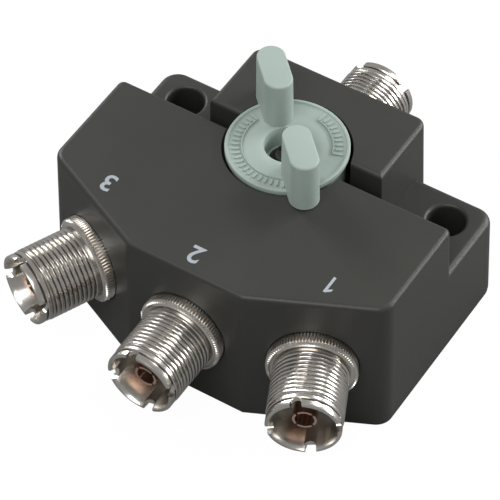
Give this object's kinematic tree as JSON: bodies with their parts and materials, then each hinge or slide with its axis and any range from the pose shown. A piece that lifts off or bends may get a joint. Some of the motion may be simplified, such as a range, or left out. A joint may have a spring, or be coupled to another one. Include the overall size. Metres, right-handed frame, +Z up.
{
  "type": "coaxial antenna switch",
  "caption": "Die-cast box with one threaded coaxial connector at the back, three on the angled front faces, two mounting ears and a two-winged rotary selector knob on top.",
  "frame": {"origin": "on the knob's axis, on the flat mounting face under the box", "axes": "+Z up along the knob's axis, +Y towards the common connector, +X towards the side of connector 1"},
  "size_m": [0.0818, 0.0959, 0.0484],
  "materials": {
    "body_paint": "satin charcoal paint",
    "cover_paint": "satin charcoal paint",
    "knob_plastic": "pale grey-green moulded",
    "nickel": "nickel plated brass",
    "copper": "copper coloured, polished",
    "brass": "plain",
    "white_plastic": "natural white",
    "board": "laminate",
    "steel": "zinc plated"
  },
  "bodies": {
    "box": {"housing": "body_paint", "bottom_cover": "cover_paint", "cover_screws": "steel", "stator_plate": "board", "stator_screws": "steel", "strap_rivets": "brass", "shaft_bush": "brass", "stop_pin": "steel", "detent_spring": "steel", "detent_spring_screws": "steel", "port_nuts": "nickel", "port_1_shell": "nickel", "port_1_insulator": "white_plastic", "port_1_contact": "copper", "port_1_strap": "brass", "port_2_shell": "nickel", "port_2_insulator": "white_plastic", "port_2_contact": "copper", "port_2_strap": "brass", "port_3_shell": "nickel", "port_3_insulator": "white_plastic", "port_3_contact": "copper", "port_3_strap": "brass", "common_shell": "nickel", "common_insulator": "white_plastic", "common_contact": "copper", "common_strap": "brass"},
    "selector": {"knob": "knob_plastic", "knob_washer": "steel", "knob_screw": "steel", "shaft": "steel", "shaft_clip": "steel", "detent_wheel": "steel", "rotor": "white_plastic", "rotor_blade": "brass", "blade_rivets": "brass"}
  },
  "joints": [
    {"name": "knob_turn", "type": "hinge", "parent": "box", "child": "selector", "pos_m": [0, 0, 0.022], "axis": [0, 0, 1], "range_deg": [-90, 0], "deforming": ["detent_spring"]}
  ]
}
